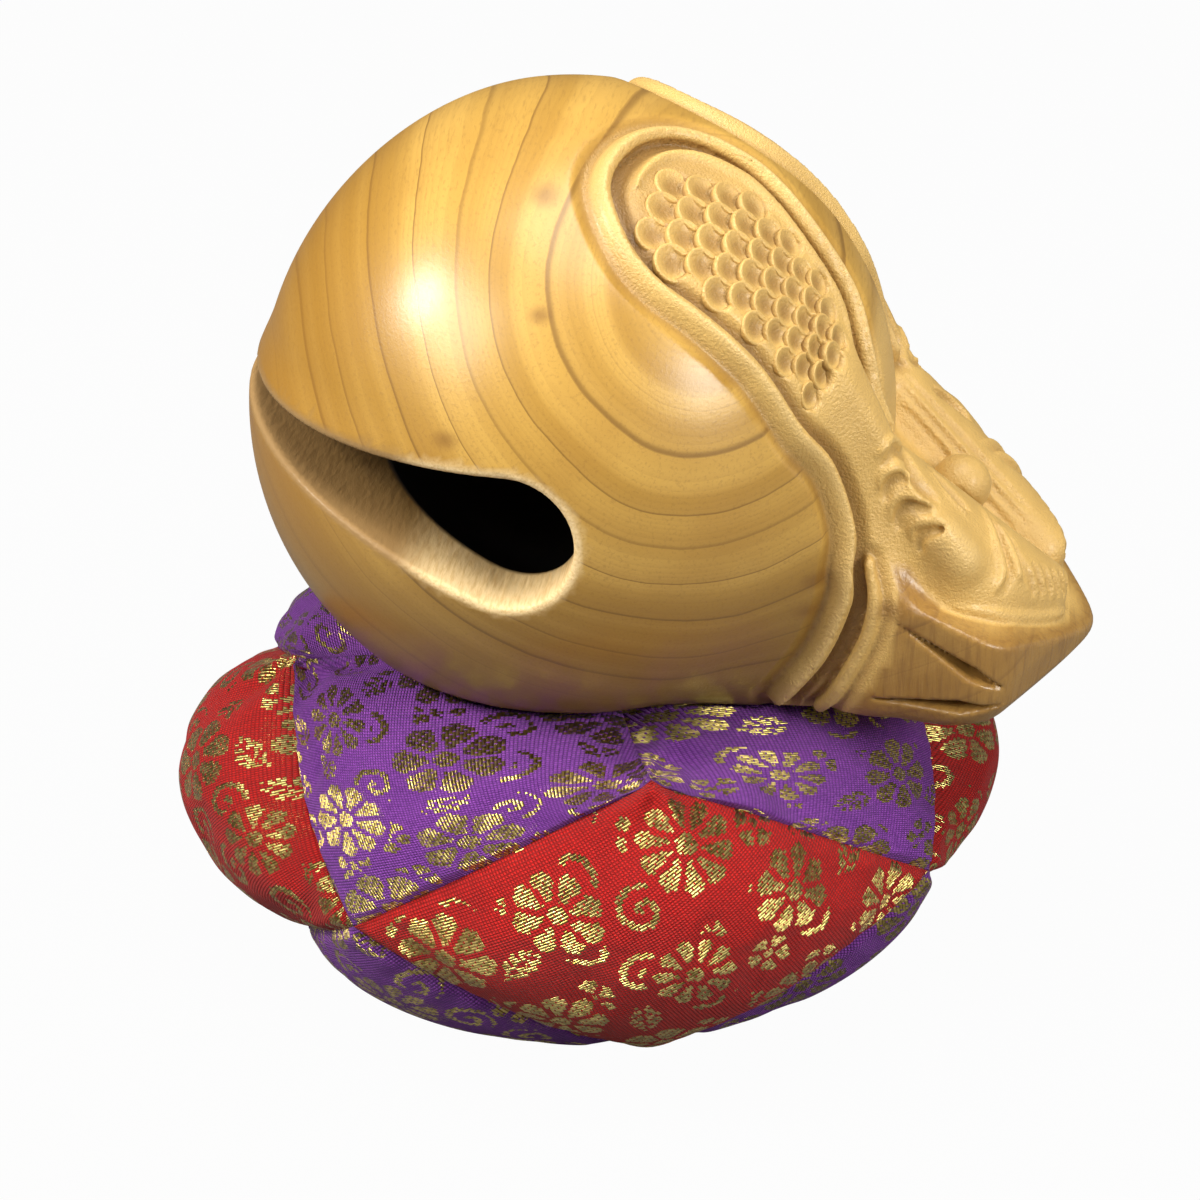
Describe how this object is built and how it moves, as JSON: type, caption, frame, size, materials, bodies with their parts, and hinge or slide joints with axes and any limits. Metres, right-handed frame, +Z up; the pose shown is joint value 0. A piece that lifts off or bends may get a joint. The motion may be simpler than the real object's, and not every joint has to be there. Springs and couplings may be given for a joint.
{
  "type": "mokugyo wooden fish",
  "caption": "Hollow carved wooden fish slit drum with scale panels and paired heads on its tail, resting on a round puffed cushion of red and purple brocade diamonds.",
  "frame": {"origin": "middle of the cushion's flat underside, on the surface it stands on", "axes": "+Z up; the mouth of the fish faces -Y and its tail +Y; +X is the fish's own left"},
  "size_m": [0.1174, 0.13, 0.1248],
  "materials": {
    "wood": "satin, waxed",
    "red_brocade": "woven with gold thread",
    "purple_brocade": "woven with gold thread",
    "wadding": "soft"
  },
  "bodies": {
    "cushion": {"cushion_stuffing": "wadding", "side_patch_1": "red_brocade", "side_patch_2": "red_brocade", "side_patch_3": "red_brocade", "side_patch_4": "red_brocade", "top_patch_1": "purple_brocade", "top_patch_2": "purple_brocade", "top_patch_3": "purple_brocade", "top_patch_4": "purple_brocade", "base_patch_1": "purple_brocade", "base_patch_2": "purple_brocade", "base_patch_3": "purple_brocade", "base_patch_4": "purple_brocade"},
    "fish": {"wooden_fish": "wood"}
  },
  "joints": [
    {"name": "fish_lift", "type": "slide", "parent": "cushion", "child": "fish", "axis": [0, 0, 1], "range_m": [0, 0.08]}
  ]
}
